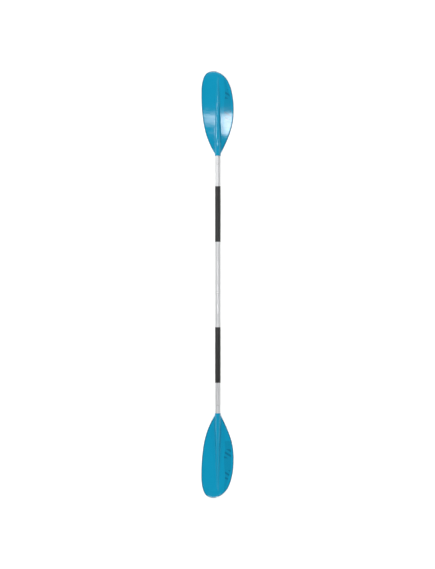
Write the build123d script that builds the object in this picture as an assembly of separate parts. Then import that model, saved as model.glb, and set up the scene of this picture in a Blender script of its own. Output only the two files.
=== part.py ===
from build123d import *

import math
import os

# Four-piece kayak paddle: two moulded blades and two tube halves, plugged together with snap clips.
#
# Millimetres. The shaft runs along Y with the origin on its axis, at the seam between the two halves.
# The paddle lies flat: the blades' inner faces and the snap buttons look up, along +Z.
# Everything past a seam is described from that seam outwards, and the lower end mirrors the upper end.

# Overall sizes
HALF_SHAFT_LENGTH = 694.0
BLADE_LENGTH = 456.0
LONG_EDGE_WIDTH = 88.5
FULL_EDGE_WIDTH = 85.2

# Shaft tube
TUBE_RADIUS = 14.0
TUBE_WALL = 1.5
TUBE_END_CHAMFER = 0.3
SEAM_GAP = 0.1

# Spigots that join the pieces
SPIGOT_CLEARANCE = 0.08
SPIGOT_WALL = 1.5
SPIGOT_REACH = 95.0
BLADE_SPIGOT_ROOT = 88.0
CENTRE_SPIGOT_ROOT = 80.0
SPIGOT_SEAT_GAP = 0.02

# End caps of the spigots
CAP_LIP = 2.0
CAP_LIP_INSET = 0.15
CAP_PLUG_LENGTH = 8.0
CAP_PLUG_CLEARANCE = 0.1

# Snap clips: a bent strip with a button drawn from it
BUTTON_SETBACK = 44.0
BUTTON_RADIUS = 3.8
BUTTON_WALL = 0.8
BUTTON_PROUD = 2.0
BUTTON_HOLE_CLEARANCE = 0.3
TUBE_HOLE_CLEARANCE = 0.4
BUTTON_TOP_FILLET = 1.4
BUTTON_SKIRT = 0.8
CLIP_WIDTH = 8.0
CLIP_THICKNESS = 0.8
CLIP_TAIL = 7.0
CLIP_LEAF = 44.0
CLIP_SIDE_GAP = 0.05
CLIP_SLOPE_DROP = 3.6
CLIP_BEND_RADIUS = 4.0
FEATHER_ANGLE = 60.0

# Grips
GRIP_START = 230.0
GRIP_LENGTH = 300.0
GRIP_WALL = 0.6
GRIP_SEAT_GAP = 0.02
GRIP_GROOVE_SETBACK = 44.0
GRIP_GROOVE_WIDTH = 3.0
GRIP_GROOVE_DEPTH = 0.3

# Float plugs inside the tubes
PLUG_LENGTH = 40.0
PLUG_SPIGOT_GAP = 12.0
PLUG_CLEARANCE = 0.05
INNER_PLUG_CLEARANCE = 0.3

# Blind rivets
RIVET_RADIUS = 2.4
RIVET_HOLE_CLEARANCE = 0.05
RIVET_HEAD_RADIUS = 3.8
RIVET_HEAD_HEIGHT = 1.1
RIVET_HEAD_FILLET = 0.9
RIVET_BULB_RADIUS = 3.4
RIVET_BULB_LENGTH = 2.0
RIVET_RECESS_DEPTH = 1.6
RIVET_RECESS_CLEARANCE = 0.6
BLADE_RIVET_SETBACK = 60.0
CENTRE_RIVET_SETBACK = 40.0

# Blade neck, plate and rib
NECK_STEP = 1.5
NECK_LENGTH = 95.0
PLATE_THICKNESS = 3.6
PLATE_EDGE_THICKNESS = 2.6
PLATE_STEPS = 10
PLATE_MARGIN = 6.0
PLATE_START = 8.0
PLATE_START_HALF_WIDTH = 13.0
BELLY_BELOW_NECK = 0.7
BELLY_PLACE = 0.42
HEEL_DROP = 5.0
TIP_RISE = 6.0
CAMBER_POWER = 2.2
EDGE_RISE = 4.5
EDGE_RISE_POWER = 4
TIP_OFFSET = 27.0

# Outline of the blade: (share of the blade's length, share of that side's half width)
LONG_EDGE = [(0.12, 0.44), (0.23, 0.672), (0.34, 0.822), (0.48, 0.932), (0.62, 0.99),
             (0.73, 1.0), (0.83, 0.976), (0.905, 0.895), (0.97, 0.705)]
FULL_EDGE = [(0.12, 0.425), (0.23, 0.68), (0.34, 0.875), (0.44, 0.975), (0.55, 1.0),
             (0.64, 0.985), (0.73, 0.915), (0.82, 0.79), (0.90, 0.585), (0.97, 0.205)]

# Rib: (share of the blade's length, half width as a share of the neck's radius, height over the plate)
RIB = [(0.33, 0.92, 18.6), (0.46, 0.78, 12.2), (0.57, 0.66, 8.8), (0.70, 0.52, 5.8),
       (0.84, 0.38, 3.3), (0.94, 0.26, 1.3)]
RIB_ROOT = 0.6
RIB_ARC_STEP = 30

# How far cutting bars and sheets run past what they cut
CUT_MARGIN = 1.0
OUTLINE_CUT_HEIGHT = 60.0

tube_bore = TUBE_RADIUS - TUBE_WALL
spigot_radius = tube_bore - SPIGOT_CLEARANCE
spigot_bore = spigot_radius - SPIGOT_WALL
grip_radius = TUBE_RADIUS + GRIP_WALL
neck_radius = TUBE_RADIUS + NECK_STEP
belly_depth = neck_radius + BELLY_BELOW_NECK - PLATE_THICKNESS / 2
tube_hole_radius = BUTTON_RADIUS + TUBE_HOLE_CLEARANCE
spigot_hole_radius = BUTTON_RADIUS + BUTTON_HOLE_CLEARANCE
rivet_hole_radius = RIVET_RADIUS + RIVET_HOLE_CLEARANCE


def bar(radius, low, high):
    """A round bar about the Y axis, from y = low to y = high."""
    return Pos(0, (low + high) / 2, 0) * Rot(90, 0, 0) * Cylinder(radius, high - low)


def pipe(outer, inner, low, high):
    """A pipe about the Y axis."""
    return bar(outer, low, high) - bar(inner, low - CUT_MARGIN, high + CUT_MARGIN)


def post(radius, y, low, high):
    """An upright round bar at y, from z = low to z = high."""
    return Pos(0, y, (low + high) / 2) * Cylinder(radius, high - low)


def lower_twin(shape):
    """The same piece at the lower end of the paddle."""
    return mirror(shape, about=Plane.XZ)


def half_tube(start):
    """A half's tube from y = start to the blade, with chamfered ends, before any hole is drilled."""
    tube = pipe(TUBE_RADIUS, tube_bore, start, HALF_SHAFT_LENGTH)
    return chamfer(tube.edges().filter_by(GeomType.CIRCLE), TUBE_END_CHAMFER)


def blade_button_hole():
    """The hole at the blade's end of a tube, in its upper wall."""
    return post(tube_hole_radius, HALF_SHAFT_LENGTH - BUTTON_SETBACK, 0, 2 * TUBE_RADIUS)


def upper_tube():
    """The half that keeps the centre spigot, drilled for it and for the blade's button."""
    rivet_hole = post(rivet_hole_radius, CENTRE_RIVET_SETBACK, -2 * TUBE_RADIUS, 0)
    return half_tube(0) - blade_button_hole() - rivet_hole


def lower_tube():
    """The half that plugs on and turns at the centre, with a straight hole and one feather hole each way."""
    tube = lower_twin(half_tube(SEAM_GAP) - blade_button_hole())
    centre_hole = post(tube_hole_radius, -BUTTON_SETBACK, 0, 2 * TUBE_RADIUS)
    for angle in (-FEATHER_ANGLE, 0, FEATHER_ANGLE):
        tube -= Rot(0, angle, 0) * centre_hole
    return tube


def grip():
    """The upper grip: a thin sleeve with a groove near each end."""
    end = GRIP_START + GRIP_LENGTH
    sleeve = pipe(grip_radius, TUBE_RADIUS + GRIP_SEAT_GAP, GRIP_START, end)
    half_groove = GRIP_GROOVE_WIDTH / 2
    for middle in (GRIP_START + GRIP_GROOVE_SETBACK, end - GRIP_GROOVE_SETBACK):
        sleeve -= pipe(grip_radius + CUT_MARGIN, grip_radius - GRIP_GROOVE_DEPTH,
                       middle - half_groove, middle + half_groove)
    return sleeve


def spigot(seam, root, rivet_setback):
    """A spigot that is fixed for a length of root past the seam and reaches back the other way."""
    body = pipe(spigot_radius, spigot_bore, seam - SPIGOT_REACH, seam + root)
    body -= post(spigot_hole_radius, seam - BUTTON_SETBACK, 0, 2 * TUBE_RADIUS)
    return body - post(rivet_hole_radius, seam + rivet_setback, -2 * TUBE_RADIUS, 0)


def spigot_cap(seam):
    """The cap that closes a spigot's free end."""
    end = seam - SPIGOT_REACH
    lip = bar(spigot_radius - CAP_LIP_INSET, end - CAP_LIP, end)
    plug = bar(spigot_bore - CAP_PLUG_CLEARANCE, end, end + CAP_PLUG_LENGTH)
    return lip + plug


def snap_clip(seam):
    """A V of spring strip that lies in the spigot, with its button standing through both holes."""
    button_y = seam - BUTTON_SETBACK
    half_width = CLIP_WIDTH / 2
    wall_height = math.sqrt(spigot_bore**2 - half_width**2)
    leg_z = wall_height - CLIP_THICKNESS / 2 - CLIP_SIDE_GAP
    bend_y = button_y + CLIP_LEAF
    path = FilletPolyline(
        (0, button_y - CLIP_TAIL, leg_z),
        (0, bend_y, leg_z - CLIP_SLOPE_DROP),
        (0, bend_y, -leg_z + CLIP_SLOPE_DROP),
        (0, button_y - CLIP_TAIL, -leg_z),
        radius=CLIP_BEND_RADIUS,
    )
    strip = sweep(Plane(path @ 0, x_dir=(1, 0, 0), z_dir=path % 0)
                  * Rectangle(CLIP_WIDTH, CLIP_THICKNESS), path)
    top = TUBE_RADIUS + BUTTON_PROUD
    foot = leg_z - CLIP_THICKNESS / 2 - BUTTON_SKIRT
    button = post(BUTTON_RADIUS, button_y, foot, top)
    button = fillet(button.edges().group_by(Axis.Z)[-1], BUTTON_TOP_FILLET)
    hollow = post(BUTTON_RADIUS - BUTTON_WALL, button_y, 0, top - BUTTON_WALL)
    return strip + button - hollow


def rivet(y, skin):
    """A blind rivet driven up from below: head under z = -skin, bulb above the spigot's wall."""
    head = post(RIVET_HEAD_RADIUS, y, -skin - RIVET_HEAD_HEIGHT, -skin)
    head = fillet(head.edges().group_by(Axis.Z)[0], RIVET_HEAD_FILLET)
    shank = post(RIVET_RADIUS, y, -skin, -spigot_bore + RIVET_BULB_LENGTH)
    bulb_foot = -math.sqrt(spigot_bore**2 - RIVET_BULB_RADIUS**2)
    bulb = post(RIVET_BULB_RADIUS, y, bulb_foot, bulb_foot + RIVET_BULB_LENGTH)
    return head + shank + bulb


def float_plug(low, clearance):
    """A round foam plug inside a tube, starting at y = low."""
    return bar(tube_bore - clearance, low, low + PLUG_LENGTH)


def camber_height(share):
    """Height of the plate's middle at a share of the blade's length: deepest at the belly."""
    if share < BELLY_PLACE:
        end, distance = -HEEL_DROP, (BELLY_PLACE - share) / BELLY_PLACE
    else:
        end, distance = TIP_RISE, (share - BELLY_PLACE) / (1 - BELLY_PLACE)
    return -belly_depth + (end + belly_depth) * distance**CAMBER_POWER


def plate_section(share, reach):
    """One cross-section of the plate, wider than the blade: flat in the middle, its edges turned up."""
    y = HALF_SHAFT_LENGTH + share * BLADE_LENGTH
    middle = camber_height(share)
    lower, upper = [], []
    for step in (-1, -0.5, 0, 0.5, 1):
        rise = EDGE_RISE * step**EDGE_RISE_POWER
        half = (PLATE_THICKNESS + (PLATE_EDGE_THICKNESS - PLATE_THICKNESS) * step**2) / 2
        lower.append((step * reach, y, middle + rise - half))
        upper.append((step * reach, y, middle + rise + half))
    bottom = Spline(*lower)
    top = Spline(*upper)
    return make_face([bottom, Line(lower[-1], upper[-1]), top, Line(lower[0], upper[0])])


def plate():
    """The thin curved plate, cut to the blade's outline."""
    reach = max(LONG_EDGE_WIDTH, FULL_EDGE_WIDTH) + PLATE_MARGIN
    slab = loft([plate_section(step / PLATE_STEPS, reach) for step in range(PLATE_STEPS + 2)])
    near = HALF_SHAFT_LENGTH + PLATE_START
    left = [(-w * LONG_EDGE_WIDTH, HALF_SHAFT_LENGTH + s * BLADE_LENGTH) for s, w in LONG_EDGE]
    right = [(w * FULL_EDGE_WIDTH, HALF_SHAFT_LENGTH + s * BLADE_LENGTH) for s, w in FULL_EDGE]
    tip = (-TIP_OFFSET, HALF_SHAFT_LENGTH + BLADE_LENGTH)
    start = (-PLATE_START_HALF_WIDTH, near)
    end = (PLATE_START_HALF_WIDTH, near)
    rim = Spline(start, *left, tip, *reversed(right), end)
    outline = make_face([rim, Line(end, start)])
    return slab & extrude(outline, amount=OUTLINE_CUT_HEIGHT, both=True)


def rib_section(y, half_width, centre, over, under):
    """Two half-ovals joined at their widest: over above the centre and under below it."""
    arcs = []
    for height in (over, -under):
        points = []
        for degrees in range(0, 181, RIB_ARC_STEP):
            angle = math.radians(degrees)
            points.append((half_width * math.cos(angle), y, centre + height * math.sin(angle)))
        way = (0, 0, math.copysign(1, height))
        back = (0, 0, -math.copysign(1, height))
        arcs.append(Spline(*points, tangents=[way, back]))
    return make_face(arcs)


def neck_and_rib():
    """The round neck, and the rib that it thins into along the plate."""
    sections = []
    for y in (0, NECK_LENGTH / 2, NECK_LENGTH):
        sections.append(rib_section(HALF_SHAFT_LENGTH + y, neck_radius, 0, neck_radius, neck_radius))
    for share, width, height in RIB:
        sections.append(rib_section(HALF_SHAFT_LENGTH + share * BLADE_LENGTH, neck_radius * width,
                                    camber_height(share), height + PLATE_THICKNESS / 2, RIB_ROOT))
    return loft(sections)


def blade():
    """The upper blade: plate, neck and rib in one moulding, with a blind socket for its spigot."""
    body = plate() + neck_and_rib()
    socket_end = HALF_SHAFT_LENGTH + BLADE_SPIGOT_ROOT
    body -= bar(spigot_radius + SPIGOT_SEAT_GAP, HALF_SHAFT_LENGTH - CUT_MARGIN, socket_end)
    rivet_y = HALF_SHAFT_LENGTH + BLADE_RIVET_SETBACK
    recess_top = -neck_radius + RIVET_RECESS_DEPTH
    body -= post(rivet_hole_radius, rivet_y, -2 * neck_radius, 0)
    recess_radius = RIVET_HEAD_RADIUS + RIVET_RECESS_CLEARANCE
    return body - post(recess_radius, rivet_y, -2 * neck_radius, recess_top)


def pieces():
    """Every piece of the paddle by name."""
    blade_seam = HALF_SHAFT_LENGTH
    upper_blade = blade()
    upper_grip = grip()
    blade_spigot = spigot(blade_seam, BLADE_SPIGOT_ROOT, BLADE_RIVET_SETBACK)
    blade_cap = spigot_cap(blade_seam)
    blade_clip = snap_clip(blade_seam)
    blade_rivet = rivet(blade_seam + BLADE_RIVET_SETBACK, neck_radius - RIVET_RECESS_DEPTH)
    outer_plug = float_plug(
        blade_seam - SPIGOT_REACH - CAP_LIP - PLUG_SPIGOT_GAP - PLUG_LENGTH, PLUG_CLEARANCE)
    inner_start = SPIGOT_REACH + CAP_LIP + PLUG_SPIGOT_GAP
    return {
        "upper_blade": upper_blade,
        "lower_blade": lower_twin(upper_blade),
        "upper_tube": upper_tube(),
        "lower_tube": lower_tube(),
        "upper_grip": upper_grip,
        "lower_grip": lower_twin(upper_grip),
        "upper_blade_spigot": blade_spigot,
        "lower_blade_spigot": lower_twin(blade_spigot),
        "centre_spigot": spigot(0, CENTRE_SPIGOT_ROOT, CENTRE_RIVET_SETBACK),
        "upper_blade_spigot_cap": blade_cap,
        "lower_blade_spigot_cap": lower_twin(blade_cap),
        "centre_spigot_cap": spigot_cap(0),
        "upper_snap_clip": blade_clip,
        "lower_snap_clip": lower_twin(blade_clip),
        "centre_snap_clip": snap_clip(0),
        "upper_blade_rivet": blade_rivet,
        "lower_blade_rivet": lower_twin(blade_rivet),
        "centre_spigot_rivet": rivet(CENTRE_RIVET_SETBACK, TUBE_RADIUS),
        "upper_outer_float_plug": outer_plug,
        "lower_outer_float_plug": lower_twin(outer_plug),
        "upper_inner_float_plug": float_plug(CENTRE_SPIGOT_ROOT + PLUG_SPIGOT_GAP, PLUG_CLEARANCE),
        "lower_inner_float_plug": lower_twin(float_plug(inner_start, INNER_PLUG_CLEARANCE)),
    }


os.makedirs("parts", exist_ok=True)
for name, shape in pieces().items():
    export_step(shape, f"parts/{name}.step")
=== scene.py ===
"""Looks of a take-apart kayak paddle, built round its fixed frame.

Lengths are metres, in the frame's own axes: the shaft runs along Y, and the inner faces of the
blades and the snap buttons look up.
"""

import math

import bmesh
import bpy
import numpy as np
from bpy.props import FloatProperty, FloatVectorProperty, IntProperty, PointerProperty
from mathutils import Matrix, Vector, kdtree


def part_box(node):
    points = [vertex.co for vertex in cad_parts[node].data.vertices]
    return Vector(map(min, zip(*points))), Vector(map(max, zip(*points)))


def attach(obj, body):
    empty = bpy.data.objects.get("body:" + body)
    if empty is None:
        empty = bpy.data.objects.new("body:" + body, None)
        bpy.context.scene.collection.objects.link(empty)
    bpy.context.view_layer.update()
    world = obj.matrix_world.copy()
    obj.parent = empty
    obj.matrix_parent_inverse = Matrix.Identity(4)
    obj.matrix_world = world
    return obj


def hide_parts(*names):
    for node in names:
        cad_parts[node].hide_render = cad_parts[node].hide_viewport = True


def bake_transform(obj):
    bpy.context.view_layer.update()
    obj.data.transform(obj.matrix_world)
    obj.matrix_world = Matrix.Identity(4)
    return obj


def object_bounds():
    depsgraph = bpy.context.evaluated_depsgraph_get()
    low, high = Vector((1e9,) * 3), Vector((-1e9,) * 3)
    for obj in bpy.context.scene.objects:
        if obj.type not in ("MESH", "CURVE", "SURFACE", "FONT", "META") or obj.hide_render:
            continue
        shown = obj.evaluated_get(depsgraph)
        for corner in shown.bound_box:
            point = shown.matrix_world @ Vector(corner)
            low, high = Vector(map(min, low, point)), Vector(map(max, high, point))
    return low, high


bl_info = {
    "name": "Kayak Paddle Looks",
    "version": (1, 0, 0),
    "blender": (4, 5, 0),
    "location": "3D View > Sidebar > Paddle",
    "description": "Builds the blades, grips, snap clips and finishes of a take-apart kayak paddle",
    "category": "Object",
}

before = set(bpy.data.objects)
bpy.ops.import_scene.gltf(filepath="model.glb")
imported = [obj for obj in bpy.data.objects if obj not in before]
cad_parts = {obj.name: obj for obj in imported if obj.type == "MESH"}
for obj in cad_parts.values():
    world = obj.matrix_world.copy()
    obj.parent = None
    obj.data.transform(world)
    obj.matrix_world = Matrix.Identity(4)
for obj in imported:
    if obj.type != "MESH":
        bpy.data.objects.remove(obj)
CAD_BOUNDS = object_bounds()
MM = 0.001

# Places that the frame gives
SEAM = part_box("upper_tube")[1][1]
TUBE_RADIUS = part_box("upper_tube")[1][0]
SPIGOT_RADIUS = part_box("upper_blade_spigot")[1][0]
SPIGOT_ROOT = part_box("upper_blade_spigot")[1][1] - SEAM
BLADE_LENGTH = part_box("upper_blade")[1][1] - SEAM
BLADE_LEFT = -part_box("upper_blade")[0][0]
BLADE_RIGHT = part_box("upper_blade")[1][0]
GRIP_START, GRIP_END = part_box("upper_grip")[0][1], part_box("upper_grip")[1][1]
GRIP_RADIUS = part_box("upper_grip")[1][0]
RIVET_PLACE = (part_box("upper_blade_rivet")[0][1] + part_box("upper_blade_rivet")[1][1]) / 2 - SEAM
FLOOR_LEVEL = CAD_BOUNDS[0][2]

# Outline of the blade: (share of the blade's length, share of that side's half width)
LONG_EDGE = [(0.12, 0.44), (0.23, 0.672), (0.34, 0.822), (0.48, 0.932), (0.62, 0.99),
             (0.73, 1.0), (0.83, 0.976), (0.905, 0.895), (0.97, 0.705)]
FULL_EDGE = [(0.12, 0.425), (0.23, 0.68), (0.34, 0.875), (0.44, 0.975), (0.55, 1.0),
             (0.64, 0.985), (0.73, 0.915), (0.82, 0.79), (0.90, 0.585), (0.97, 0.205)]

# Rib: (share of the blade's length, share of the neck's radius across, millimetres over the plate's middle)
RIB = [(0.33, 0.92, 20.4), (0.46, 0.78, 14.0), (0.57, 0.66, 10.6), (0.70, 0.52, 7.6),
       (0.84, 0.38, 5.1), (0.94, 0.26, 3.1)]
RIB_END, RIB_END_WIDTH = 0.97, 0.2

# How the blade's surface is stepped and softened, in millimetres
RIB_STEP, RIB_SOFT = 0.5, 9
ACROSS_STEP, CORNER_SOFT = 0.2, 1.1

# Zones of the blade, in metres
RUN_OUT = 0.02
NECK_ZONE = 30 * MM
SUNK, SUNK_UNTIL, SUNK_FADE = 0.3 * MM, 0.085, 0.02
PLATE_REACH = max(BLADE_LEFT, BLADE_RIGHT) + 6 * MM
RIM_ROUNDING, BEAD_WIDTH = 1.5 * MM, 1.2 * MM
BEAD_START, BEAD_FADE, BACK_BEAD = 12 * MM, 40 * MM, 0.5
BELLY_SHARE, BELLY_POWER, FOLD_SHARE = 0.42, 2.2, 0.2

# Print on the blade: strokes in groups, from a wavy inner edge to an outer one that tapers to the tip
TURN = 2 * math.pi
STROKE_SLANT, STROKE_PITCH = 0.6, 0.027
GROUP_PITCH, GROUP_PHASE = 0.114, 2.0
WAVE_PITCH, WAVE_HEIGHT = 0.15, 0.003
PRINT_INNER, PRINT_OUTER = 0.036, 0.072
TAPER_START, TAPER_SLOPE = 0.30, -0.28
PRINT_START, PRINT_END, PRINT_FADE = 0.150, 0.420, 0.003
PRINT_EDGE, PRINT_GROUND = 0.0004, 0.35

# Settings that several nodes share
SMOOTH = {"interpolation_type": "SMOOTHSTEP"}
COLOUR_MIX = {"data_type": "RGBA", "out": 2}

# Soft lights: name, place, target, width, height, power
LIGHTS = [
    ("key", (-3.4, 0, 2.1), (0, 0, 0), 6.0, 2.2, 36),
    ("fill", (3.4, 0, 2.1), (0, 0, 0), 6.0, 2.2, 38),
    ("head", (0, 3.9, 3.2), (0, 0, 0), 3.0, 2.0, 150),
    ("foot", (0, -3.9, 3.2), (0, 0, 0), 3.0, 2.0, 195),
    ("top", (0, 0, 3.0), (0, 0, 0), 0.6, 0.85, 20.0),
    ("window_left", (0.32, 1.166, 3.0), (0.32, 1.166, 0), 0.70, 0.044, 1.1),
    ("window_right", (-0.35, 1.216, 3.0), (-0.35, 1.216, 0), 0.66, 0.158, 6.3),
    ("strip", (-2.7, 2.0, 1.5), (0, 0.85, 0), 1.3, 1.0, 42),
]
SKY_STRENGTH = 0.16


def linear(code):
    """An sRGB hex colour as the linear values that shaders take."""
    out = []
    for start in (1, 3, 5):
        value = int(code[start:start + 2], 16) / 255
        out.append(value / 12.92 if value <= 0.04045 else ((value + 0.055) / 1.055) ** 2.4)
    return (*out, 1.0)


def length_property(name, description, default):
    """A length in metres that shows in the sidebar."""
    return FloatProperty(name=name, description=description, default=default, unit="LENGTH",
                         precision=5)


def colour_property(name, description, code):
    """A colour that shows in the sidebar."""
    return FloatVectorProperty(name=name, description=description, default=linear(code)[:3],
                               size=3, min=0, max=1, subtype="COLOR")


class BladeSettings(bpy.types.PropertyGroup):
    """Sizes of the blade moulding."""

    neck_radius: length_property("Neck radius", "Outer radius of the round socket", 15.5 * MM)
    neck_length: length_property("Neck length", "Length over which the neck stays round", 95 * MM)
    plate: length_property("Plate", "Thickness at the middle of the blade", 3.6 * MM)
    plate_edge: length_property("Plate at the rim", "Thickness near the rim", 2.6 * MM)
    bead: length_property("Rim bead", "Height of the bead that runs inside the rim", 0.6 * MM)
    bead_inset: length_property("Bead inset", "Distance from the rim to the bead's crest", 3.2 * MM)
    heel_drop: length_property("Heel drop", "Plate below the shaft's axis at the neck", 5 * MM)
    belly_drop: length_property("Belly drop", "Plate below the shaft's axis at its lowest", 14.4 * MM)
    tip_rise: length_property("Tip rise", "Plate above the shaft's axis at the tip", 6 * MM)
    edge_rise: length_property("Edge rise", "How far the side edges turn up", 4.5 * MM)
    tip_offset: length_property("Tip offset", "Tip's distance from the shaft's axis", 27 * MM)
    rows: IntProperty(name="Rows", description="Rows of faces along the blade", default=260)


class GripSettings(bpy.types.PropertyGroup):
    """Sizes of the grip sleeves."""

    groove_setback: length_property("Groove setback", "Groove's distance from the sleeve's end", 44 * MM)
    groove_width: length_property("Groove width", "Width of the groove", 3.2 * MM)
    groove_depth: length_property("Groove depth", "Depth of the groove", 0.42 * MM)
    lip: length_property("Rolled lip", "Rounding of the sleeve's ends", 0.45 * MM)


class ClipSettings(bpy.types.PropertyGroup):
    """Sizes of the snap clips."""

    width: length_property("Strip width", "Width of the spring strip", 8 * MM)
    thickness: length_property("Strip thickness", "Thickness of the spring strip", 0.8 * MM)
    tail: length_property("Tail", "Strip past the button", 7 * MM)
    leaf: length_property("Leaf", "Strip from the button to the fold", 44 * MM)
    slope: length_property("Slope", "How far a leaf comes in by the fold", 3.6 * MM)
    bend: length_property("Bend radius", "Radius of the fold's corners", 4 * MM)
    button_radius: length_property("Button radius", "Radius of the drawn button", 3.8 * MM)


class FinishSettings(bpy.types.PropertyGroup):
    """Colours of the finishes."""

    blade: colour_property("Blade", "Turquoise of the polypropylene", "#007B9C")
    blade_print: colour_property("Print", "Darker ink of the tone-on-tone print", "#005B78")
    metal: colour_property("Metal", "Silver of the anodised tube", "#C9CACC")
    grip: colour_property("Grip", "Black of the grip sleeve", "#0F0F10")
    floor: colour_property("Floor", "Pale floor", "#F4F4F3")


class StageSettings(bpy.types.PropertyGroup):
    """Camera and lights."""

    camera_height: length_property("Camera height", "Camera's height over the shaft", 9.0)
    field: length_property("Field", "Height of the picture at the shaft", 3.07)
    camera_shift: length_property("Camera offset", "Camera's distance to the left of the shaft",
                                  1.6 * MM)


class PaddleSettings(bpy.types.PropertyGroup):
    """Everything a user would change."""

    blade: PointerProperty(type=BladeSettings)
    grip: PointerProperty(type=GripSettings)
    clip: PointerProperty(type=ClipSettings)
    finish: PointerProperty(type=FinishSettings)
    stage: PointerProperty(type=StageSettings)


# Finishes


def node(tree, kind, inputs=(), out=0, **settings):
    """Adds one shader node with its settings, input values and links, and gives back one of its outputs.
    Inputs are a dict by name or number, or a tuple in the node's own order."""
    made = tree.nodes.new("ShaderNode" + kind)
    for key, value in settings.items():
        setattr(made, key, value)
    for key, value in inputs.items() if isinstance(inputs, dict) else enumerate(inputs):
        if isinstance(value, bpy.types.NodeSocket):
            tree.links.new(value, made.inputs[key])
        else:
            made.inputs[key].default_value = value
    return made.outputs[out] if len(made.outputs) else None


def start_material(name):
    """An empty material, its node tree and the object's own coordinates in metres."""
    material = bpy.data.materials.new(name)
    material.use_nodes = True
    tree = material.node_tree
    tree.nodes.clear()
    return material, tree, node(tree, "TexCoord", out="Object")


def finish_material(material, tree, **inputs):
    """Joins the shader to the output. Keys are socket names with underscores for spaces."""
    named = {key.replace("_", " "): value for key, value in inputs.items()}
    node(tree, "OutputMaterial", {"Surface": node(tree, "BsdfPrincipled", named)})
    return material


def shaded(colour, factor):
    """A colour made darker or lighter by a factor."""
    return (*[min(1.0, value * factor) for value in colour[:3]], 1.0)


def print_mask(tree, place):
    """The blade's print: groups of slanted strokes between two waves, right of the rib."""
    across = node(tree, "SeparateXYZ", (place,), out="X")
    lengthwise = across.node.outputs["Y"]
    outward = node(tree, "Math", (lengthwise,), operation="ABSOLUTE")
    along = node(tree, "Math", (outward, SEAM), operation="SUBTRACT")
    slant = node(tree, "Math", (across, STROKE_SLANT, lengthwise), operation="MULTIPLY_ADD")
    phase = node(tree, "Math", (slant, TURN / STROKE_PITCH), operation="MULTIPLY")
    strokes = node(tree, "Math", (phase,), operation="SINE")
    phase = node(tree, "Math", (along, TURN / GROUP_PITCH, GROUP_PHASE), operation="MULTIPLY_ADD")
    groups = node(tree, "Math", (phase,), operation="SINE")
    phase = node(tree, "Math", (along, TURN / WAVE_PITCH), operation="MULTIPLY")
    wave = node(tree, "Math", (phase,), operation="SINE")
    inner = node(tree, "Math", (wave, WAVE_HEIGHT, PRINT_INNER), operation="MULTIPLY_ADD")
    past = node(tree, "Math", (along, TAPER_START), operation="SUBTRACT")
    past = node(tree, "Math", (past, 0.0), operation="MAXIMUM")
    outer = node(tree, "Math", (past, TAPER_SLOPE, PRINT_OUTER), operation="MULTIPLY_ADD")
    strokes = node(tree, "MapRange", (strokes, 0.1, 0.3), **SMOOTH)
    groups = node(tree, "MapRange", (groups, 0.1, 0.3), **SMOOTH)
    marks = node(tree, "Math", (strokes, groups), operation="MULTIPLY")
    mask = node(tree, "Math", (marks, 1 - PRINT_GROUND, PRINT_GROUND), operation="MULTIPLY_ADD")
    from_inner = node(tree, "Math", (across, inner), operation="SUBTRACT")
    from_outer = node(tree, "Math", (outer, across), operation="SUBTRACT")
    limits = ((from_inner, -PRINT_EDGE, PRINT_EDGE), (from_outer, -PRINT_EDGE, PRINT_EDGE),
              (along, PRINT_START, PRINT_START + PRINT_FADE), (along, PRINT_END, PRINT_END - PRINT_FADE))
    for limit in limits:
        inside = node(tree, "MapRange", limit, **SMOOTH)
        mask = node(tree, "Math", (mask, inside), operation="MULTIPLY")
    return mask


def blade_polypropylene(finish):
    """Polypropylene, injection moulded and semi-gloss: a clear sheen over a faint orange peel, cloudy
    flow marks in the colour, a print one shade darker than the blade, and painted shade at the rim."""
    material, tree, place = start_material("moulded_polypropylene")
    base = (*finish.blade, 1.0)
    clouds = node(tree, "TexNoise", {"Vector": place, "Scale": 1 / (90 * MM), "Detail": 2.0})
    colour = node(tree, "Mix", {0: clouds, 6: shaded(base, 0.97), 7: shaded(base, 1.04)}, **COLOUR_MIX)
    ink = print_mask(tree, place)
    colour = node(tree, "Mix", {0: ink, 6: colour, 7: (*finish.blade_print, 1.0)}, **COLOUR_MIX)
    # Painted shade: near the rim the colour darkens towards 35 % of the blade's, standing in for the dark
    # edge line that shade draws there.
    rim = node(tree, "Attribute", out="Fac", attribute_name="rim")
    rim = node(tree, "MapRange", (rim, 0.0, 0.6, 0.0, 0.8), **SMOOTH)
    colour = node(tree, "Mix", {0: rim, 6: colour, 7: shaded(base, 0.35)}, **COLOUR_MIX)
    smears = node(tree, "TexNoise", {"Vector": place, "Scale": 1 / (25 * MM), "Detail": 4.0})
    rough = node(tree, "MapRange", (smears, 0.3, 0.7, 0.05, 0.08), **SMOOTH)
    peel = node(tree, "TexNoise", {"Vector": place, "Scale": 1 / (2.4 * MM), "Detail": 2.0})
    stretched = node(tree, "Mapping", {"Vector": place, "Scale": (1.0, 0.06, 1.0)})
    scuffs = node(tree, "TexNoise", {"Vector": stretched, "Scale": 1 / (1.2 * MM), "Detail": 2.0})
    normal = node(tree, "Bump", {"Height": peel, "Distance": 0.02 * MM, "Strength": 0.5})
    normal = node(tree, "Bump", {"Height": scuffs, "Distance": 0.006 * MM, "Strength": 0.4,
                                 "Normal": normal})
    return finish_material(material, tree, Base_Color=colour, Roughness=rough, IOR=1.49,
                           Normal=normal, Subsurface_Weight=0.04, Subsurface_Scale=2 * MM)


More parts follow.
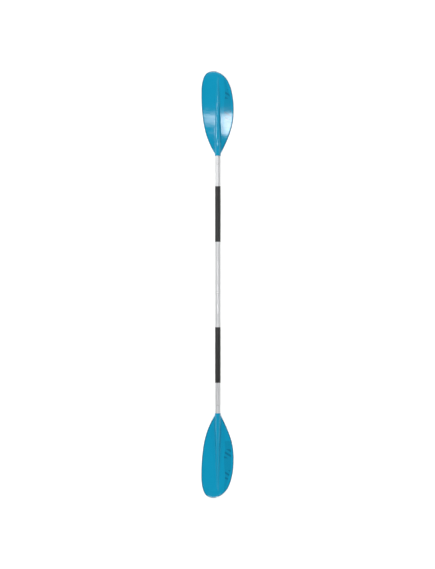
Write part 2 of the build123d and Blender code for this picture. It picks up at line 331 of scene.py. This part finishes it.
def drawn_aluminium(finish):
    """Aluminium tube, drawn and satin anodised: a soft silver with fine die lines along its length."""
    material, tree, place = start_material("drawn_anodised_aluminium")
    base = (*finish.metal, 1.0)
    stretched = node(tree, "Mapping", {"Vector": place, "Scale": (1.0, 0.012, 1.0)})
    lines = node(tree, "TexNoise", {"Vector": stretched, "Scale": 1 / (0.9 * MM), "Detail": 3.0})
    clouds = node(tree, "TexNoise", {"Vector": place, "Scale": 1 / (40 * MM), "Detail": 2.0})
    cloudy = node(tree, "Math", (clouds, 0.4), operation="MULTIPLY")
    tone = node(tree, "Math", (lines, 0.6, cloudy), operation="MULTIPLY_ADD")
    colour = node(tree, "Mix", {0: tone, 6: shaded(base, 0.90), 7: shaded(base, 1.06)}, **COLOUR_MIX)
    rough = node(tree, "MapRange", (lines, 0.3, 0.7, 0.36, 0.46), **SMOOTH)
    normal = node(tree, "Bump", {"Height": lines, "Distance": 0.01 * MM, "Strength": 0.6})
    return finish_material(material, tree, Base_Color=colour, Metallic=0.9, Roughness=rough,
                           Normal=normal)


def grip_rubber(finish):
    """Rubber sleeve, extruded and shrunk on: satin black with a fine pebbled skin and dusty wear."""
    material, tree, place = start_material("extruded_rubber")
    base = (*finish.grip, 1.0)
    dust = node(tree, "TexNoise", {"Vector": place, "Scale": 1 / (30 * MM), "Detail": 5.0})
    colour = node(tree, "Mix", {0: dust, 6: shaded(base, 0.75), 7: shaded(base, 1.45)}, **COLOUR_MIX)
    pebbles = node(tree, "TexVoronoi", {"Vector": place, "Scale": 1 / (1.3 * MM)}, out="Distance")
    handled = node(tree, "TexNoise", {"Vector": place, "Scale": 1 / (12 * MM), "Detail": 3.0})
    rough = node(tree, "MapRange", (handled, 0.3, 0.7, 0.28, 0.38), **SMOOTH)
    normal = node(tree, "Bump", {"Height": pebbles, "Distance": 0.05 * MM, "Strength": 0.5})
    return finish_material(material, tree, Base_Color=colour, Roughness=rough, IOR=1.52,
                           Normal=normal)


def spring_steel():
    """Stainless spring strip, cold rolled: bright grey with faint rolling lines."""
    material, tree, place = start_material("rolled_spring_steel")
    base = linear("#B9B9BA")
    stretched = node(tree, "Mapping", {"Vector": place, "Scale": (1.0, 0.05, 1.0)})
    lines = node(tree, "TexNoise", {"Vector": stretched, "Scale": 1 / (0.5 * MM), "Detail": 3.0})
    colour = node(tree, "Mix", {0: lines, 6: shaded(base, 0.8), 7: shaded(base, 1.15)}, **COLOUR_MIX)
    rough = node(tree, "MapRange", (lines, 0.3, 0.7, 0.20, 0.34), **SMOOTH)
    normal = node(tree, "Bump", {"Height": lines, "Distance": 0.006 * MM, "Strength": 0.5})
    return finish_material(material, tree, Base_Color=colour, Metallic=1.0, Roughness=rough,
                           Normal=normal)


def cap_plastic():
    """Polyethylene cap, moulded with a matte skin: black with a fine sparked grain."""
    material, tree, place = start_material("moulded_polyethylene")
    base = linear("#17181A")
    grain = node(tree, "TexNoise", {"Vector": place, "Scale": 1 / (0.6 * MM), "Detail": 4.0})
    colour = node(tree, "Mix", {0: grain, 6: shaded(base, 0.8), 7: shaded(base, 1.3)}, **COLOUR_MIX)
    rough = node(tree, "MapRange", (grain, 0.3, 0.7, 0.55, 0.72), **SMOOTH)
    normal = node(tree, "Bump", {"Height": grain, "Distance": 0.03 * MM, "Strength": 0.6})
    return finish_material(material, tree, Base_Color=colour, Roughness=rough, IOR=1.51,
                           Normal=normal)


def float_foam():
    """Polyethylene foam, cut from closed-cell rod: off-white and covered in fine cells."""
    material, tree, place = start_material("closed_cell_foam")
    base = linear("#E4E2DA")
    cells = node(tree, "TexVoronoi", {"Vector": place, "Scale": 1 / (1.1 * MM)}, out="Distance")
    colour = node(tree, "Mix", {0: cells, 6: shaded(base, 0.82), 7: shaded(base, 1.04)}, **COLOUR_MIX)
    rough = node(tree, "MapRange", (cells, 0.0, 1.0, 0.78, 0.92), **SMOOTH)
    normal = node(tree, "Bump", {"Height": cells, "Distance": 0.2 * MM, "Strength": 0.7})
    return finish_material(material, tree, Base_Color=colour, Roughness=rough, Normal=normal)


def floor_paint(finish):
    """Matte paint on board, rolled: pale, with a barely visible stipple."""
    material, tree, place = start_material("rolled_matte_paint")
    base = (*finish.floor, 1.0)
    stipple = node(tree, "TexNoise", {"Vector": place, "Scale": 1 / (3 * MM), "Detail": 3.0})
    clouds = node(tree, "TexNoise", {"Vector": place, "Scale": 1 / 0.7, "Detail": 2.0})
    colour = node(tree, "Mix", {0: clouds, 6: shaded(base, 0.995), 7: shaded(base, 1.005)}, **COLOUR_MIX)
    rough = node(tree, "MapRange", (stipple, 0.3, 0.7, 0.8, 0.9), **SMOOTH)
    normal = node(tree, "Bump", {"Height": stipple, "Distance": 0.02 * MM, "Strength": 0.2})
    return finish_material(material, tree, Base_Color=colour, Roughness=rough, Normal=normal)


# Shapes


def mesh_object(name, vertices, faces, material):
    """A new object from points in metres, smooth apart from its sharp edges."""
    mesh = bpy.data.meshes.new(name)
    mesh.from_pydata([tuple(v) for v in vertices], [], faces)
    mesh.validate()
    made = bpy.data.objects.new(name, mesh)
    bpy.context.scene.collection.objects.link(made)
    mesh.materials.append(material)
    smooth(mesh)
    return made


def smooth(mesh):
    """Smooth shading that keeps edges of 38 degrees or more sharp."""
    mesh.shade_smooth()
    mesh.set_sharp_from_angle(angle=math.radians(38))


def lathe(profile, count, place=lambda across, along: (across[0], along, across[1])):
    """Points and faces of a closed ring profile of (radius, along) turned about an axis. A profile that
    starts and ends on the axis gives a solid bar; one that ends where it began gives a pipe."""
    closed = profile[0] == profile[-1]
    rows = profile[:-1] if closed else profile
    vertices, rings = [], []
    for radius, along in rows:
        if radius < 1e-9:
            rings.append([len(vertices)] * count)
            vertices.append(place((0.0, 0.0), along))
            continue
        rings.append(list(range(len(vertices), len(vertices) + count)))
        for step in range(count):
            angle = 2 * math.pi * step / count
            vertices.append(place((radius * math.cos(angle), radius * math.sin(angle)), along))
    faces = []
    pairs = list(zip(rings, rings[1:])) + ([(rings[-1], rings[0])] if closed else [])
    for first, second in pairs:
        for step in range(count):
            after = (step + 1) % count
            corners = [first[step], first[after], second[after], second[step]]
            corners = list(dict.fromkeys(corners))
            if len(corners) > 2:
                faces.append(corners)
    return vertices, faces


def face_outwards(made):
    """Turns every face of a closed mesh to look out."""
    shape = bmesh.new()
    shape.from_mesh(made.data)
    bmesh.ops.recalc_face_normals(shape, faces=shape.faces)
    shape.to_mesh(made.data)
    shape.free()
    return made


def combine(made, operation, other):
    """Joins or cuts one closed mesh with another, which is then removed."""
    change = made.modifiers.new(operation.lower(), "BOOLEAN")
    change.operation = operation
    change.solver = "MANIFOLD"
    change.object = other
    bpy.context.view_layer.update()
    result = made.evaluated_get(bpy.context.evaluated_depsgraph_get())
    mesh = bpy.data.meshes.new_from_object(result)
    if len(mesh.polygons) < 8:
        raise RuntimeError(f"{operation} of {made.name} with {other.name} left nothing")
    made.modifiers.clear()
    made.data = mesh
    bpy.data.objects.remove(other)
    return made


def lower_twin(made, name):
    """A mirror copy of an upper piece for the lower end of the paddle."""
    mesh = made.data.copy()
    for vertex in mesh.vertices:
        vertex.co.y = -vertex.co.y
    mesh.flip_normals()
    twin = bpy.data.objects.new(name, mesh)
    bpy.context.scene.collection.objects.link(twin)
    return twin


def place_piece(made, body, slot, *nodes):
    """Rides a finished piece on its body in place of its frame nodes."""
    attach(made, body)
    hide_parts(*nodes)


def finish_nodes(material, *names):
    """Gives frame nodes a finish."""
    for name in names:
        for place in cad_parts[name].material_slots:
            place.material = material


# Blade


def spline_through(points, count):
    """Evenly stepped points on a smooth curve through a few given ones."""
    points = np.array(points, float)
    knots = np.concatenate([[0], np.cumsum(np.linalg.norm(np.diff(points, axis=0), axis=1))])
    steps = np.diff(knots)
    size = len(knots)
    system, right = np.eye(size), np.zeros_like(points)
    for i in range(1, size - 1):
        system[i, i - 1:i + 2] = steps[i - 1], 2 * (steps[i - 1] + steps[i]), steps[i]
        right[i] = 6 * ((points[i + 1] - points[i]) / steps[i]
                        - (points[i] - points[i - 1]) / steps[i - 1])
    bend = np.linalg.solve(system, right)
    at = np.linspace(0, knots[-1], count)
    i = np.clip(np.searchsorted(knots, at) - 1, 0, size - 2)
    step = steps[i][:, None]
    before = ((knots[i + 1] - at)[:, None]) / step
    after = 1 - before
    return (before * points[i] + after * points[i + 1]
            + ((before**3 - before) * bend[i] + (after**3 - after) * bend[i + 1]) * step**2 / 6)


def blur(values, reach):
    """Values smoothed along their last axis by a bell of that many steps."""
    steps = np.arange(-math.ceil(3 * reach), math.ceil(3 * reach) + 1)
    bell = np.exp(-(steps / reach) ** 2 / 2)
    bell /= bell.sum()
    edge = len(steps) // 2
    padded = np.pad(values, [(0, 0)] * (values.ndim - 1) + [(edge, edge)], mode="edge")
    return np.apply_along_axis(lambda row: np.convolve(row, bell, "valid"), -1, padded)


def blade_outline(blade):
    """The rim from one side of the neck round the tip to the other, as (across, along) in metres."""
    left = [(-w * BLADE_LEFT, s * BLADE_LENGTH) for s, w in LONG_EDGE]
    right = [(w * BLADE_RIGHT, s * BLADE_LENGTH) for s, w in FULL_EDGE]
    start, half = 8 * MM, 13 * MM
    tip = (-blade.tip_offset, BLADE_LENGTH)
    return spline_through([(-half, start), *left, tip, *reversed(right), (half, start)], 4000)


def plate_middle(blade, across, along):
    """Height of the plate's middle: deepest at the belly, rising to the tip, its sides turned up."""
    share = along / BLADE_LENGTH
    fore = np.clip((BELLY_SHARE - share) / BELLY_SHARE, 0, None) ** BELLY_POWER
    aft = np.clip((share - BELLY_SHARE) / (1 - BELLY_SHARE), 0, None) ** BELLY_POWER
    height = (-blade.belly_drop + (blade.belly_drop - blade.heel_drop) * fore
              + (blade.belly_drop + blade.tip_rise) * aft)
    side = np.abs(across) / PLATE_REACH
    return height + blade.edge_rise * (FOLD_SHARE * side + (1 - FOLD_SHARE) * side**4)


def plate_half(blade, across):
    """Half the plate's thickness, thinner towards the sides."""
    return (blade.plate + (blade.plate_edge - blade.plate) * (across / PLATE_REACH) ** 2) / 2


def raised(blade, stations, side):
    """How far the neck and rib stand over the plate's upper face, or the neck below its lower face.
    Returns the places across and one row of heights for each station, with soft corners."""
    fine = np.arange(-RUN_OUT, BLADE_LENGTH + RUN_OUT, RIB_STEP * MM)
    neck, end = blade.neck_radius, blade.neck_length
    rib_at = [share * BLADE_LENGTH for share, _, _ in RIB]
    middle = [float(plate_middle(blade, 0.0, s)) for s in rib_at]
    knots = [-RUN_OUT, 0, end, *rib_at, BLADE_LENGTH * RIB_END]
    width = [neck] * 3 + [neck * w for _, w, _ in RIB] + [neck * RIB_END_WIDTH]
    base = [0, 0, 0, *middle, float(plate_middle(blade, 0.0, knots[-1]))]
    if side > 0:
        top = [neck] * 3 + [m + h * MM for m, (_, _, h) in zip(middle, RIB)] + [base[-1]]
    else:
        top = [-neck] * 3 + middle + [base[-1]]
    width, base, top = [np.interp(stations, fine, blur(np.interp(fine, knots, v), RIB_SOFT / RIB_STEP))
                        for v in (width, base, top)]
    across = np.arange(-NECK_ZONE, NECK_ZONE, ACROSS_STEP * MM)
    sunk = SUNK * np.clip((SUNK_UNTIL - stations) / SUNK_FADE, 0, 1)
    round_part = np.sqrt(np.clip(1 - (across[None] / width[:, None]) ** 2, 0, None))
    crest = base[:, None] + (top - base - side * sunk)[:, None] * round_part
    inside = np.abs(across[None]) < width[:, None]
    face = (plate_middle(blade, across[None], stations[:, None])
            + side * plate_half(blade, across[None]))
    over = np.where(inside, np.clip(side * (crest - face), 0, None), 0)
    return across, blur(over, CORNER_SOFT / ACROSS_STEP)


def blade_body(blade, material):
    """The plate with its rim bead, rib and the fillets beside its neck, as one closed mesh."""
    rim = blade_outline(blade)
    peak = int(np.argmax(rim[:, 1]))
    start = rim[0, 1]
    share = np.linspace(0, 1, blade.rows + 1)[:-1]
    stations = start + (rim[peak, 1] - start) * (1 - (1 - share) ** 1.8)
    left = np.interp(stations, rim[:peak + 1, 1], rim[:peak + 1, 0])
    right = np.interp(stations, rim[peak:, 1][::-1], rim[peak:, 0][::-1])

    def side_steps(reach):
        """Places from the axis to the rim for each station: close in the rib and at the bead."""
        rib_zone, bead_zone = np.minimum(21 * MM, 0.6 * reach), np.minimum(6 * MM, 0.2 * reach)
        one = np.linspace(0, 1, 27)[None] * rib_zone[:, None]
        between = (reach - rib_zone - bead_zone)[:, None]
        two = rib_zone[:, None] + np.linspace(0, 1, 23)[None, 1:] * between
        curve = 1 - (1 - np.linspace(0, 1, 17)[None, 1:]) ** 1.5
        three = (reach - bead_zone)[:, None] + curve * bead_zone[:, None]
        return np.hstack([one, two, three])

    centre = (left + right) / 2 * np.clip((stations / BLADE_LENGTH - 0.95) / 0.05, 0, 1) ** 2
    across = np.hstack([centre[:, None] - side_steps(centre - left)[:, :0:-1],
                        centre[:, None] + side_steps(right - centre)])
    along = np.repeat(stations[:, None], across.shape[1], 1)
    edge = rim_tree(blade)
    depth = np.array([edge.find((x, y, 0))[2] for x, y in zip(across.flat, along.flat)])
    depth = depth.reshape(across.shape)
    depth[:, 0] = depth[:, -1] = depth[0] = 0

    middle = plate_middle(blade, across, along)
    rounding = np.sqrt(1 - (1 - np.clip(depth / RIM_ROUNDING, 0, 1)) ** 2)
    half = plate_half(blade, across) * rounding
    bead = blade.bead * np.exp(-(((depth - blade.bead_inset) / BEAD_WIDTH) ** 2))
    bead *= rounding * np.clip((along - BEAD_START) / BEAD_FADE, 0, 1)
    fade = np.clip(depth / MM, 0, 1)
    surfaces = []
    for side in (1, -1):
        where, heights = raised(blade, stations, side)
        over = np.array([np.interp(x, where, row, 0, 0) for x, row in zip(across, heights)])
        share = 1 if side > 0 else BACK_BEAD
        surfaces.append(middle + side * (half + share * bead + over * fade))

    rows, columns = across.shape
    vertices = [(x, SEAM + y, z) for x, y, z in zip(across.flat, along.flat, surfaces[0].flat)]
    upper = np.arange(rows * columns).reshape(rows, columns)
    lower = upper.copy()
    inner = np.zeros_like(upper, bool)
    inner[1:, 1:-1] = True
    lower[inner] = len(vertices) + np.arange(inner.sum())
    vertices += [(x, SEAM + y, z) for x, y, z in
                 zip(across[inner], along[inner], surfaces[1][inner])]
    tip = len(vertices)
    vertices.append((rim[peak, 0], SEAM + rim[peak, 1],
                     float(plate_middle(blade, rim[peak, 0], rim[peak, 1]))))
    faces = []
    for grid, way in ((upper, 1), (lower, -1)):
        for i in range(rows - 1):
            for j in range(columns - 1):
                faces.append([int(grid[i, j]), int(grid[i, j + 1]), int(grid[i + 1, j + 1]),
                              int(grid[i + 1, j])][::way])
        for j in range(columns - 1):
            faces.append([int(grid[-1, j]), int(grid[-1, j + 1]), tip][::way])
    return mesh_object("blade_moulding_upper", vertices, faces, material)


def rim_tree(blade):
    """A search tree of points close together on the blade's outline."""
    rim = blade_outline(blade)
    points = list(rim) + list(np.linspace(rim[-1], rim[0], 200))
    tree = kdtree.KDTree(len(points))
    for number, (across, along) in enumerate(points):
        tree.insert((across, along, 0), number)
    tree.balance()
    return tree


def mark_rim_shade(made, blade):
    """Stores each point's closeness to the rim, 1 on it and 0 from a few millimetres in, for the painted
    shade along the rim.
    """
    reach, tree = 5.5 * MM, rim_tree(blade)
    values = []
    for vertex in made.data.vertices:
        along = vertex.co.y - SEAM
        far = tree.find((vertex.co.x, along, 0))[2]
        values.append(max(0.0, 1 - far / reach) if along > blade.neck_length / 3 else 0.0)
    made.data.attributes.new("rim", "FLOAT", "POINT").data.foreach_set("value", values)


def blade_neck(blade, material):
    """The round socket, with a rounded mouth, sinking into the body at its far end."""
    radius, end = blade.neck_radius, blade.neck_length
    lip = 1.3 * MM
    profile = [(0, 0), (radius - lip, 0)]
    for step in range(1, 6):
        angle = math.radians(18 * step)
        profile.append((radius - lip * (1 - math.sin(angle)), lip * (1 - math.cos(angle))))
    profile += [(radius, end * 0.4), (radius, end - 15 * MM), (radius - 3 * MM, end + 15 * MM),
                (0, end + 15 * MM)]
    vertices, faces = lathe([(r, SEAM + y) for r, y in profile], 96)
    return face_outwards(mesh_object("neck", vertices, faces, material))


def cutter(name, radius, low, high, upright_at=None):
    """A round bar to cut with: along the shaft, or upright at a place along it."""
    profile = [(0, low), (radius, low), (radius, high), (0, high)]
    if upright_at is None:
        vertices, faces = lathe(profile, 96)
    else:
        vertices, faces = lathe(profile, 64, lambda a, z: (a[0], upright_at + a[1], z))
    made = mesh_object(name, vertices, faces, bpy.data.materials[0])
    return face_outwards(made)


class PADDLE_OT_blades(bpy.types.Operator):
    """Moulds the upper blade and mirrors it for the lower end"""

    bl_idname = "paddle.blades"
    bl_label = "Blades"

    def execute(self, context):
        settings = context.scene.paddle
        blade = settings.blade
        material = blade_polypropylene(settings.finish)
        upper = face_outwards(blade_body(blade, material))
        combine(upper, "UNION", blade_neck(blade, material))
        socket = cutter("socket", SPIGOT_RADIUS + 0.03 * MM, SEAM - 5 * MM, SEAM + SPIGOT_ROOT)
        combine(upper, "DIFFERENCE", socket)
        recess = cutter("recess", 4.4 * MM, -0.05, -blade.neck_radius + 1.6 * MM,
                        SEAM + RIVET_PLACE)
        combine(upper, "DIFFERENCE", recess)
        smooth(upper.data)
        mark_rim_shade(upper, blade)
        lower = lower_twin(upper, "blade_moulding_lower")
        place_piece(upper, "upper_blade", "turquoise_polypropylene", "upper_blade")
        place_piece(lower, "lower_blade", "turquoise_polypropylene", "lower_blade")
        return {"FINISHED"}


# Grips


class PADDLE_OT_grips(bpy.types.Operator):
    """Makes the two grip sleeves"""

    bl_idname = "paddle.grips"
    bl_label = "Grips"

    def execute(self, context):
        settings = context.scene.paddle
        grip = settings.grip
        material = grip_rubber(settings.finish)
        grooves = (GRIP_START + grip.groove_setback, GRIP_END - grip.groove_setback)
        inner = TUBE_RADIUS + 0.02 * MM
        outline = [(inner, GRIP_START)]
        count = 400
        for step in range(count + 1):
            along = GRIP_START + (GRIP_END - GRIP_START) * step / count
            end = min(along - GRIP_START, GRIP_END - along)
            share = max(0.0, 1 - end / grip.lip)
            radius = GRIP_RADIUS - (1 - math.sqrt(1 - share**2)) * grip.lip
            away = min(abs(along - groove) for groove in grooves) / (grip.groove_width / 2)
            radius -= grip.groove_depth * max(0.0, 1 - away**4)
            radius += 0.03 * MM * math.sin(along * 260) * math.sin(along * 97 + 1) * min(1, end / 0.01)
            outline.append((radius, along))
        outline += [(inner, GRIP_END), (inner, GRIP_START)]
        vertices, faces = lathe(outline, 96)
        upper = face_outwards(mesh_object("grip_sleeve_upper", vertices, faces, material))
        smooth(upper.data)
        lower = lower_twin(upper, "grip_sleeve_lower")
        place_piece(upper, "upper_half", "black_grip_rubber", "upper_grip")
        place_piece(lower, "lower_half", "black_grip_rubber", "lower_grip")
        return {"FINISHED"}


# Snap clips


def rounded_path(points, radius):
    """A path through points with its corners rounded."""
    out, steps = [Vector(points[0])], 8
    for before, corner, after in zip(points, points[1:], points[2:]):
        corner = Vector(corner)
        back, on = (Vector(before) - corner).normalized(), (Vector(after) - corner).normalized()
        half = back.angle(on) / 2
        reach = radius / math.tan(half)
        centre = corner + (back + on).normalized() * (radius / math.sin(half))
        first, last = corner + back * reach - centre, corner + on * reach - centre
        for step in range(steps + 1):
            out.append(centre + first.slerp(last, step / steps) * radius)
    return out + [Vector(points[-1])]


def clip_mesh(name, clip, button_y, top, leg, material):
    """One snap clip: a folded strip with eased edges and a drawn button on its upper leaf."""
    fold = button_y + clip.leaf
    tail = button_y - clip.tail
    corners = [(tail, leg), (fold, leg - clip.slope), (fold, clip.slope - leg), (tail, -leg)]
    path = rounded_path([Vector((y, z)) for y, z in corners], clip.bend)
    half, thick, ease = clip.width / 2, clip.thickness / 2, clip.thickness * 0.22
    section = [(half - ease, thick), (half, thick - ease), (half, ease - thick), (half - ease, -thick),
               (ease - half, -thick), (-half, ease - thick), (-half, thick - ease), (ease - half, thick)]
    vertices, faces = [], []
    for number, point in enumerate(path):
        before, after = path[max(number - 1, 0)], path[min(number + 1, len(path) - 1)]
        way = (after - before).normalized()
        out = Vector((-way.y, way.x))
        for x, up in section:
            spot = point + out * up
            vertices.append((x, spot.x, spot.y))
    count = len(section)
    for row in range(len(path) - 1):
        for step in range(count):
            a, b = row * count + step, row * count + (step + 1) % count
            faces.append([a, b, b + count, a + count])
    faces += [list(range(count)), list(range(len(vertices) - count, len(vertices)))]
    strip = face_outwards(mesh_object(name, vertices, faces, material))
    radius, crown = clip.button_radius, 1.5 * MM
    foot = leg - clip.thickness * 1.4
    profile = [(0, foot), (radius, foot), (radius, top - crown)]
    for step in range(1, 9):
        angle = math.radians(step * 10)
        profile.append((radius - crown * (1 - math.cos(angle)), top - crown * (1 - math.sin(angle))))
    profile += [(radius * 0.3, top), (0, top)]
    vertices, faces = lathe(profile, 48, lambda a, z: (a[0], button_y + a[1], z))
    button = face_outwards(mesh_object("button", vertices, faces, material))
    combine(strip, "UNION", button)
    bore = cutter("bore", radius - clip.thickness, -0.001, top - clip.thickness, button_y)
    combine(strip, "DIFFERENCE", bore)
    smooth(strip.data)
    return strip


class PADDLE_OT_snap_clips(bpy.types.Operator):
    """Bends the three snap clips"""

    bl_idname = "paddle.snap_clips"
    bl_label = "Snap clips"

    def execute(self, context):
        clip = context.scene.paddle.clip
        material = spring_steel()
        places = {
            "upper_snap_clip": ("upper_blade", "upper_button"),
            "centre_snap_clip": ("upper_half", "centre_button"),
            "lower_snap_clip": ("lower_blade", "lower_button"),
        }
        for name, (holder, button) in places.items():
            low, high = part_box(name)
            twin = name.startswith("lower")
            start = -high[1] if twin else low[1]
            leg = -low[2] - clip.thickness / 2
            made = clip_mesh(f"snap_spring_{name.split('_')[0]}", clip, start + clip.tail, high[2],
                             leg, material)
            if twin:
                first = made
                made = lower_twin(first, "snap_spring_low_end")
                bpy.data.objects.remove(first)
            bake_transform(made)
            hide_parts(name)
        return {"FINISHED"}


# Pieces that keep their frame shape


class PADDLE_OT_metalwork(bpy.types.Operator):
    """Finishes the tubes, spigots and rivets"""

    bl_idname = "paddle.metalwork"
    bl_label = "Tubes, spigots and rivets"

    def execute(self, context):
        metal = drawn_aluminium(context.scene.paddle.finish)
        finish_nodes(metal, "upper_tube", "lower_tube", "upper_blade_spigot", "lower_blade_spigot",
                     "centre_spigot", "upper_blade_rivet", "lower_blade_rivet",
                     "centre_spigot_rivet")
        return {"FINISHED"}


class PADDLE_OT_stoppers(bpy.types.Operator):
    """Finishes the spigots' end caps and the foam float plugs"""

    bl_idname = "paddle.stoppers"
    bl_label = "End caps and float plugs"

    def execute(self, context):
        ends = ("upper_blade_spigot", "lower_blade_spigot", "centre_spigot")
        finish_nodes(cap_plastic(), *[f"{end}_cap" for end in ends])
        plugs = [f"{half}_{end}_float_plug" for half in ("upper", "lower")
                 for end in ("outer", "inner")]
        finish_nodes(float_foam(), *plugs)
        return {"FINISHED"}


# Stage


def softbox(name, place, target, width, height, power):
    """A rectangular soft light that looks at a target and isn't seen itself."""
    light = bpy.data.lights.new(name, "AREA")
    light.shape = "RECTANGLE"
    light.size, light.size_y = width, height
    light.energy = power
    made = bpy.data.objects.new(name, light)
    made.location = place
    made.rotation_euler = (Vector(target) - Vector(place)).to_track_quat("-Z", "Y").to_euler()
    made.visible_camera = False
    bpy.context.scene.collection.objects.link(made)
    return made


class PADDLE_OT_stage(bpy.types.Operator):
    """Lays the floor and sets the lights and the camera"""

    bl_idname = "paddle.stage"
    bl_label = "Stage"

    def execute(self, context):
        scene, settings = context.scene, context.scene.paddle
        stage = settings.stage
        reach, cells = 12.0, 8
        steps = np.linspace(-reach, reach, cells + 1)
        vertices = [(x, y, FLOOR_LEVEL - 0.5 * MM) for y in steps for x in steps]
        faces = [[r * (cells + 1) + c, r * (cells + 1) + c + 1, (r + 1) * (cells + 1) + c + 1,
                  (r + 1) * (cells + 1) + c] for r in range(cells) for c in range(cells)]
        mesh_object("floor", vertices, faces, floor_paint(settings.finish))

        for light in LIGHTS:
            softbox(*light)

        world = bpy.data.worlds.new("studio")
        scene.world = world
        world.use_nodes = True
        tree = world.node_tree
        tree.nodes.clear()
        sky = node(tree, "Background", {"Color": linear("#FFFFFF"), "Strength": SKY_STRENGTH})
        node(tree, "OutputWorld", {"Surface": sky})

        camera = bpy.data.cameras.new("camera")
        camera.sensor_fit = "VERTICAL"
        camera.sensor_height = 24.0
        camera.lens = camera.sensor_height * stage.camera_height / stage.field
        made = bpy.data.objects.new("camera", camera)
        made.location = (-stage.camera_shift, 0, stage.camera_height)
        scene.collection.objects.link(made)
        scene.camera = made
        scene.view_settings.view_transform = "Standard"
        return {"FINISHED"}


class PADDLE_PT_panel(bpy.types.Panel):
    """The paddle's buttons and settings"""

    bl_idname = "PADDLE_PT_panel"
    bl_label = "Kayak Paddle"
    bl_space_type = "VIEW_3D"
    bl_region_type = "UI"
    bl_category = "Paddle"

    def draw(self, context):
        for operator in OPERATORS:
            self.layout.operator(operator.bl_idname)
        paddle = context.scene.paddle
        for part in ("blade", "grip", "clip", "finish", "stage"):
            group = getattr(paddle, part)
            column = self.layout.column(heading=part.capitalize())
            for key in group.__annotations__:
                column.prop(group, key)


SETTINGS = (BladeSettings, GripSettings, ClipSettings, FinishSettings, StageSettings, PaddleSettings)
OPERATORS = (PADDLE_OT_blades, PADDLE_OT_metalwork, PADDLE_OT_grips, PADDLE_OT_snap_clips,
             PADDLE_OT_stoppers, PADDLE_OT_stage)


def register():
    """Adds the classes and the scene's paddle settings."""
    for made in (*SETTINGS, *OPERATORS, PADDLE_PT_panel):
        bpy.utils.register_class(made)
    bpy.types.Scene.paddle = PointerProperty(type=PaddleSettings)


def unregister():
    """Takes the classes and settings away again."""
    del bpy.types.Scene.paddle
    for made in reversed((*SETTINGS, *OPERATORS, PADDLE_PT_panel)):
        bpy.utils.unregister_class(made)


def main():
    """Makes every piece and the stage."""
    register()
    bpy.ops.paddle.blades()
    bpy.ops.paddle.metalwork()
    bpy.ops.paddle.grips()
    bpy.ops.paddle.snap_clips()
    bpy.ops.paddle.stoppers()
    bpy.ops.paddle.stage()


if __name__ == "__main__":
    main()
